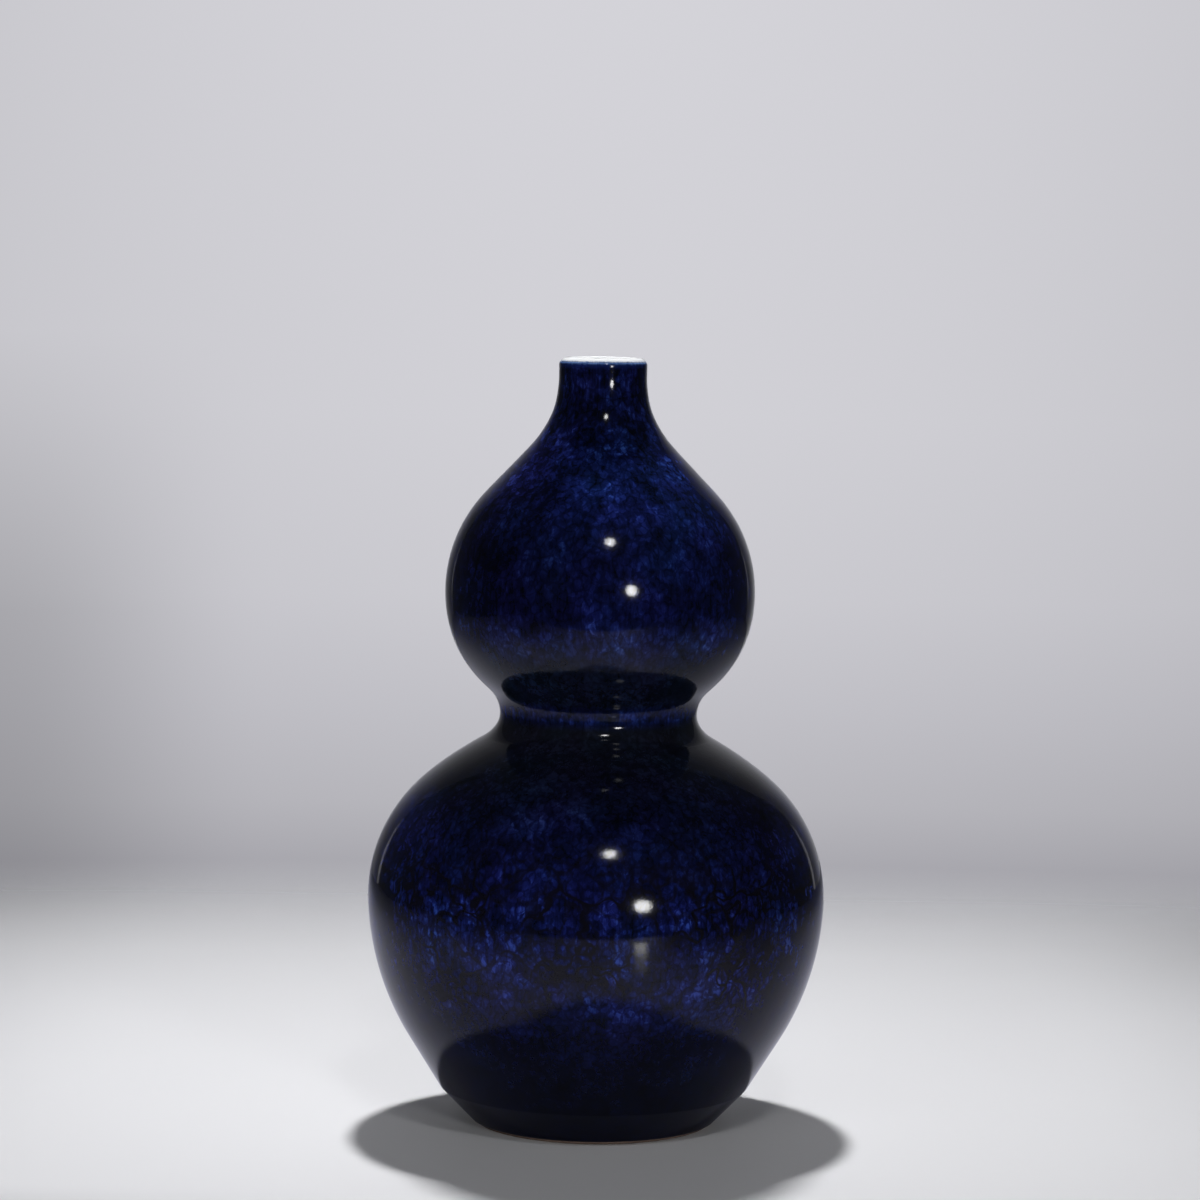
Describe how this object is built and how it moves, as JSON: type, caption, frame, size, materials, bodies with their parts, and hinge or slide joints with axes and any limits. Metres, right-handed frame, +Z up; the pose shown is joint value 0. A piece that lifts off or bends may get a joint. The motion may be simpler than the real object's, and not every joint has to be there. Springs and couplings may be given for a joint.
{
  "type": "double gourd vase",
  "caption": "Double gourd vase: large lower bulb, narrow waist, smaller upper bulb and short neck, in glazed porcelain on a foot ring, for display or cut stems.",
  "frame": {"origin": "centre of the foot ring, on the plane that the vase stands on", "axes": "+Z up along the vase's axis, from foot to mouth. The vase is round, so X and Y have no mark of their own"},
  "size_m": [0.1967, 0.1968, 0.33],
  "materials": {
    "porcelain": "fired, bare where it shows at the foot",
    "slip": "fired clay slip",
    "blue_glaze": "glossy cobalt blue glaze, finely mottled",
    "white_glaze": "glossy clear glaze over white porcelain"
  },
  "bodies": {
    "root": {"base_bowl": "porcelain", "lower_shoulder": "porcelain", "upper_cup": "porcelain", "upper_shoulder": "porcelain", "neck": "porcelain", "belly_slip": "slip", "waist_slip": "slip", "crown_slip": "slip", "neck_slip": "slip", "blue_glaze": "blue_glaze", "white_lining": "white_glaze", "base_glaze": "white_glaze"}
  },
  "joints": []
}
